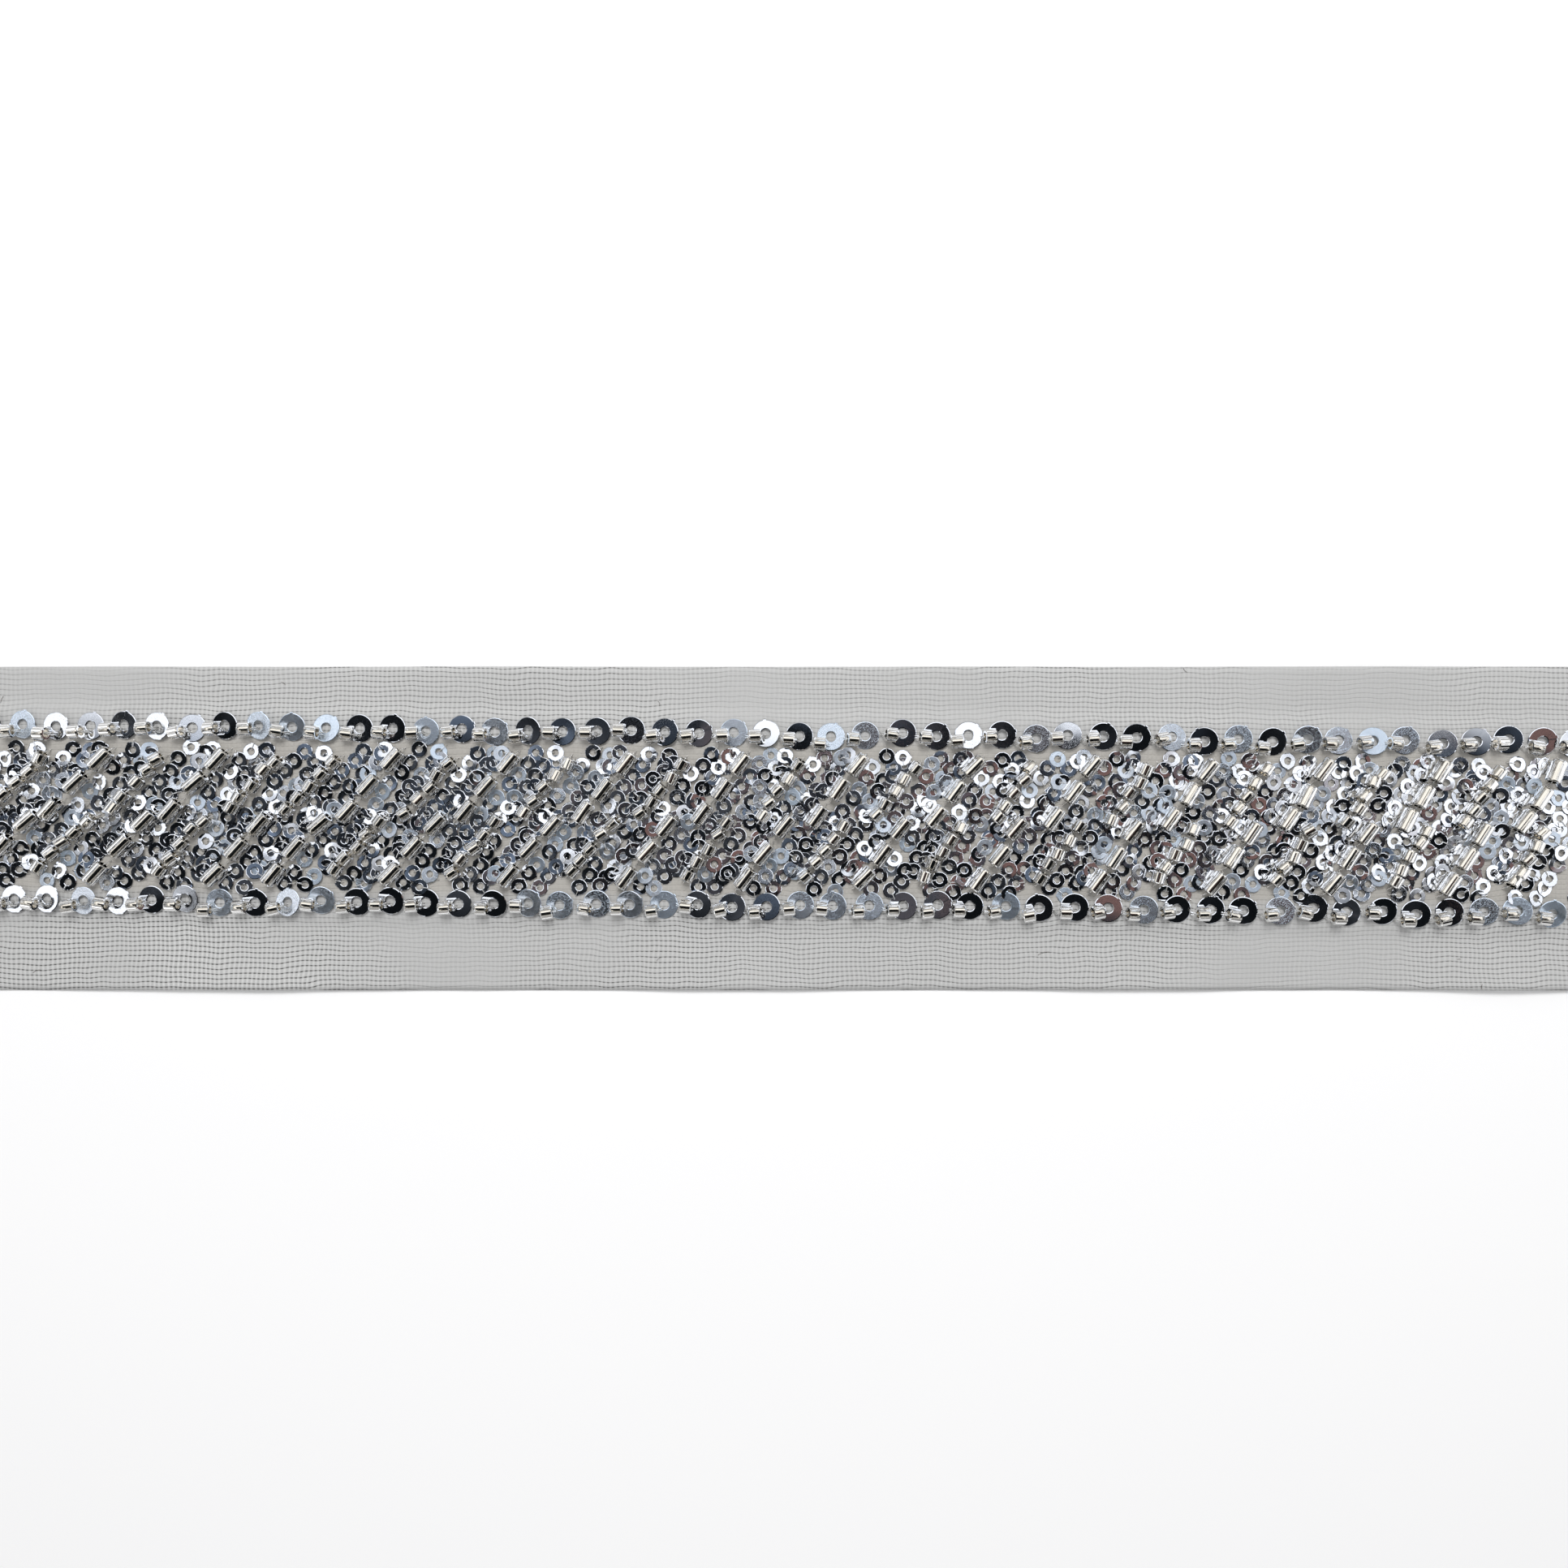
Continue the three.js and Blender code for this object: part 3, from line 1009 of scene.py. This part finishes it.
edgePlaces, edgeTurns = buildEdgeBeads()
shortPlaces, shortTurns = buildStrings(
    "short_beads", shortBead, [name for name in nodes if name.startswith("sequin_block")]
)
buglePlaces, bugleTurns = buildStrings(
    "bugle_beads", bugleBead, [name for name in nodes if name.startswith("bugles")]
)
print("beads ready:", len(edgePlaces) + len(shortPlaces), "short and", len(buglePlaces), "long")


# Sewing threads. bore and boreSunk are how far past a bead's end a thread has come and how much
# of its way down it has made there. stitchOut and stitchSunk say the same of a stitch that comes
# up through a small sequin's hole, by the distance from the hole's middle.
sewing = {
    "radius": 0.11,
    "fan": 0.2,
    "bore": (0.3, 0.85),
    "boreSunk": (0.25, 1),
    "boreFanned": (0.2, 0.7, 1),
    "boreDepth": 0.05,
    "stitchRadius": 0.09,
    "stitchOut": (0.12, 0.5, 1.15, 1.62, 1.95),
    "stitchSunk": (1, 0.1, 0, 0.3, 1),
    "stitchLift": 0.2,
    "stitchDepth": 0.04,
    "smoothUnder": 50,
}


# A thread through each bead's bore that dives into the tape beyond both ends: the bead's axis at
# the middle, level with it a little way out, then down to the tape. aside fans it out in y.
def boreThreads(places, turns, length, aside):
    half = length / 2
    level, dive = sewing["bore"]
    along = np.array([-half - dive, -half - level, -half, 0, half, half + level, half + dive])
    path = places[:, None] + turns[:, None, :, 0] * along[None, :, None]
    atEnd, beyond, last = sewing["boreFanned"]
    path[..., 1] += aside * np.array([last, beyond, atEnd, 0, atEnd, beyond, last])
    starts, ends = sewing["boreSunk"]
    sunk = np.array([ends, starts, 0, 0, 0, starts, ends])
    path[..., 2] = path[..., 2] * (1 - sunk) + (tapeTop - sewing["boreDepth"]) * sunk
    return path


# A stitch over each small sequin's ring, in some direction, following the sequin's tilt until it
# goes down just past the rim
def ringStitches():
    count = len(smallPlaces)
    heading = rng.uniform(0, 2 * np.pi, count)
    way = np.stack([np.cos(heading), np.sin(heading)], -1)
    rise = smallTilts[:, 0] * way[:, 1] - smallTilts[:, 1] * way[:, 0]
    out, sunk = np.array(sewing["stitchOut"]), np.array(sewing["stitchSunk"])
    path = np.zeros((count, len(out), 3))
    path[..., :2] = smallPlaces[:, None, :2] + way[:, None] * out[:, None]
    over = smallPlaces[:, 2:3] + rise[:, None] * out + sewing["stitchLift"]
    path[..., 2] = over * (1 - sunk) + (tapeTop - sewing["stitchDepth"]) * sunk
    return path


def buildSewing():
    edge, fan = (edgePlaces, edgeTurns, edgeBead["length"]), sewing["fan"]
    bores = (
        boreThreads(*edge, fan),
        boreThreads(*edge, -fan),
        boreThreads(shortPlaces, shortTurns, shortBead["length"], 0),
        boreThreads(buglePlaces, bugleTurns, bugleBead["length"], 0),
    )
    sets = [threads(paths, sewing["radius"]) for paths in bores]
    sets.append(threads(ringStitches(), sewing["stitchRadius"]))
    points, faces, start = [], [], 0
    for somePoints, someFaces in sets:
        points.append(somePoints)
        faces.append(someFaces + start)
        start += len(somePoints)
    points, faces = np.concatenate(points), np.concatenate(faces)
    return meshPiece("stitches", points, faces, nylon, sewing["smoothUnder"])


stitches = buildSewing()
print("sewing ready")


# A few stray fibres on the tape: where they lie, the way they point in degrees, their length
# and how far their middle bows out
strays = {
    "radius": 0.04,
    "steps": 9,
    "lift": 0.06,
    "smoothUnder": 50,
    "fibres": [
        (-140.4, 23.1, 70, 1.3, 0.1),
        (-134.1, -25.7, 20, 1.7, 0.2),
        (-89.9, 26.0, -35, 0.9, 0.1),
        (-22.5, 22.4, 110, 1.0, -0.15),
        (-22.5, -23.5, 40, 0.9, 0.1),
        (46.6, -22.5, 15, 2.2, 0.2),
        (72.0, 28.4, -50, 0.9, -0.1),
        (121.1, -23.5, 5, 0.6, 0.05),
        (124.9, -28.3, 80, 0.8, 0.1),
    ],
}


# Each fibre is a shallow arc: t from end to end, bowed sideways by bow (1 - t squared)
def buildFibres():
    x, y, heading, length, bow = np.array(strays["fibres"]).T
    heading = np.radians(heading)
    t = np.linspace(-1, 1, strays["steps"])
    along, aside = length[:, None] / 2 * t, bow[:, None] * (1 - t**2)
    pathX = x[:, None] + along * np.cos(heading)[:, None] - aside * np.sin(heading)[:, None]
    pathY = y[:, None] + along * np.sin(heading)[:, None] + aside * np.cos(heading)[:, None]
    height = tapeHeight(pathX, pathY) + tape["thickness"] / 2 + strays["lift"]
    points, faces = threads(np.stack([pathX, pathY, height], -1), strays["radius"])
    meshPiece("stray_fibres", points, faces, fibre, strays["smoothUnder"])


buildFibres()


def buildFloor():
    look = {"reach": 3000, "white": (0.97, 0.97, 0.97, 1)}
    mesh = bpy.data.meshes.new("floor")
    size = look["reach"] * mm
    corners = [(-size, -size, 0), (size, -size, 0), (size, size, 0), (-size, size, 0)]
    mesh.from_pydata(corners, [], [(0, 1, 2, 3)])
    floor = bpy.data.objects.new("floor", mesh)
    scene.collection.objects.link(floor)
    material, _, shader = newMaterial("pale floor")
    shader.inputs["Base Color"].default_value = look["white"]
    shader.inputs["Roughness"].default_value = 0.9
    shader.inputs["Specular IOR Level"].default_value = 0.1
    mesh.materials.append(material)


# What mirrors and glass see overhead: a painted board, dark in the middle and white beyond, dimmer
# again far out. It lights nothing else. Each zone's edge is a soft step across the board's own x
# or y, in millimetres, and wavers a little.
board = {
    "reach": 4000,
    "height": 345,
    "waverScale": 0.012,
    "waver": 110.0,
    "waverShareY": 0.5,
    "patchScale": 0.017,
    "patchDetail": 3,
    "left": -495,
    "right": 335,
    "far": 63,
    "soft": 16,
    "widenBelow": -70,
    "widen": 1.5,
    "black": (0.005, 0.006, 0.007),
    "blotch": (0.080, 0.086, 0.097),
    "blotchEdge": (0.46, 0.68),
    "blackBelow": (-60, -140),
    "rim": (0.20, 0.25, 0.33),
    "rimInside": (-75, -20),
    "rimEdge": (0.4, 0.62),
    "warm": (0.24, 0.135, 0.115),
    "warmFrom": (-90, 60),
    "warmEdge": (0.57, 0.61),
    "warmShare": 0.9,
    "white": (1.40, 1.41, 1.43),
    "farWhite": (0.38, 0.375, 0.36),
    "fadeFar": (420, 800),
    "leftWhite": (0.5, 0.5, 0.5),
    "fadeLeft": (-1100, -700),
    "nearWhite": (0.36, 0.345, 0.32),
    "fadeNear": (-900, -1300),
    "haze": (0.42, 0.44, 0.48),
    "hazeFrom": (150, 420),
    "hazeEdge": (0.56, 0.62),
}


# The board's colour from place, its own point in millimetres: black times the three soft steps of
# the dark zone, with blotches, a bluish far rim and warm patches in it, and white outside it
def boardColor(tree, place):
    plainX, plainY = xAndY(tree, place)
    waver = noise(tree, place, board["waverScale"])
    patch = noise(tree, place, board["patchScale"], board["patchDetail"])
    shift = product(tree, math2(tree, "SUBTRACT", waver, 0.5), board["waver"])
    x = math2(tree, "ADD", plainX, shift)
    y = math2(tree, "ADD", plainY, product(tree, shift, board["waverShareY"]))
    soft, left, right, far = (board[word] for word in ("soft", "left", "right", "far"))
    nearer = ranged(tree, y, far + soft, far - soft)
    fromLeft = ranged(tree, x, left - 2 * soft, left + 2 * soft)
    nearSide = math2(tree, "MINIMUM", math2(tree, "SUBTRACT", plainY, board["widenBelow"]), 0.0)
    slantX = math2(tree, "ADD", x, product(tree, nearSide, board["widen"]))
    toRight = ranged(tree, slantX, right + 3 * soft, right - 3 * soft)
    beyond = ranged(tree, y, *board["fadeNear"])
    dark = product(tree, nearer, fromLeft, toRight, ranged(tree, beyond, 0.0, 1.0, 1.0, 0.0))

    nearMiddle = ranged(tree, y, *board["blackBelow"], 1.0, 0.0)
    blotch = product(tree, ranged(tree, patch, *board["blotchEdge"]), nearMiddle)
    shade = mixedColor(tree, blotch, board["black"], board["blotch"])
    rim = ranged(tree, y, *(far + inside for inside in board["rimInside"]))
    rim = product(tree, rim, ranged(tree, waver, *board["rimEdge"]))
    shade = mixedColor(tree, rim, shade, board["rim"])
    warm = ranged(tree, patch, *board["warmEdge"])
    warmSide = ranged(tree, x, *board["warmFrom"])
    warm = product(tree, warm, warmSide, nearMiddle, board["warmShare"])
    shade = mixedColor(tree, warm, shade, board["warm"])

    white = mixedColor(tree, ranged(tree, y, *board["fadeFar"]), board["white"], board["farWhite"])
    white = mixedColor(tree, ranged(tree, x, *board["fadeLeft"]), board["leftWhite"], white)
    white = mixedColor(tree, beyond, white, board["nearWhite"])
    haze = ranged(tree, x, *board["hazeFrom"])
    haze = product(tree, haze, ranged(tree, patch, *board["hazeEdge"]))
    white = mixedColor(tree, haze, white, board["haze"])
    return mixedColor(tree, dark, white, shade)


def buildBoard():
    mesh = bpy.data.meshes.new("overhead_board")
    reach, height = board["reach"] * mm, board["height"] * mm
    corners = [(-reach, -reach), (-reach, reach), (reach, reach), (reach, -reach)]
    mesh.from_pydata([(x, y, height) for x, y in corners], [], [(0, 1, 2, 3)])
    piece = bpy.data.objects.new("overhead_board", mesh)
    scene.collection.objects.link(piece)
    material = bpy.data.materials.new("overhead board")
    material.use_nodes = True
    tree = material.node_tree
    tree.nodes.clear()
    place = node(tree, "ShaderNodeVectorMath", operation="SCALE")
    place.inputs["Scale"].default_value = 1 / mm
    put(tree, place.inputs[0], objectPlace(tree))
    glow = node(tree, "ShaderNodeEmission")
    put(tree, glow.inputs["Color"], boardColor(tree, place.outputs[0]))
    out = node(tree, "ShaderNodeOutputMaterial")
    put(tree, out.inputs[0], glow.outputs[0])
    mesh.materials.append(material)
    piece.visible_camera = False
    piece.visible_diffuse = False
    piece.visible_shadow = False


# A round lamp, placed beyond the trim and aimed at its middle, and a pale sky all round
def buildLight():
    lamp = {"place": (0, 420, 560), "size": 300, "power": 3.15}
    sky = {"left": (0.64, 0.64, 0.64), "right": (0.56, 0.56, 0.57), "edge": (-0.7, 0.7)}
    data = bpy.data.lights.new("key", "AREA")
    data.shape = "DISK"
    data.size = lamp["size"] * mm
    data.energy = lamp["power"]
    light = bpy.data.objects.new("key", data)
    scene.collection.objects.link(light)
    light.location = [value * mm for value in lamp["place"]]
    light.visible_glossy = False
    light.visible_transmission = False
    light.rotation_mode = "QUATERNION"
    light.rotation_quaternion = light.location.to_track_quat("Z", "Y")
    world = bpy.data.worlds.new("studio")
    scene.world = world
    world.use_nodes = True
    tree = world.node_tree
    tree.nodes.clear()
    x, _ = xAndY(tree, node(tree, "ShaderNodeTexCoord").outputs["Generated"])
    back = node(tree, "ShaderNodeBackground")
    shade = mixedColor(tree, ranged(tree, x, *sky["edge"]), sky["left"], sky["right"])
    put(tree, back.inputs["Color"], shade)
    out = node(tree, "ShaderNodeOutputWorld")
    put(tree, out.inputs[0], back.outputs[0])
    scene.view_settings.view_transform = "Standard"
    scene.view_settings.look = "None"


buildFloor()
buildBoard()
buildLight()
print("floor and light ready")
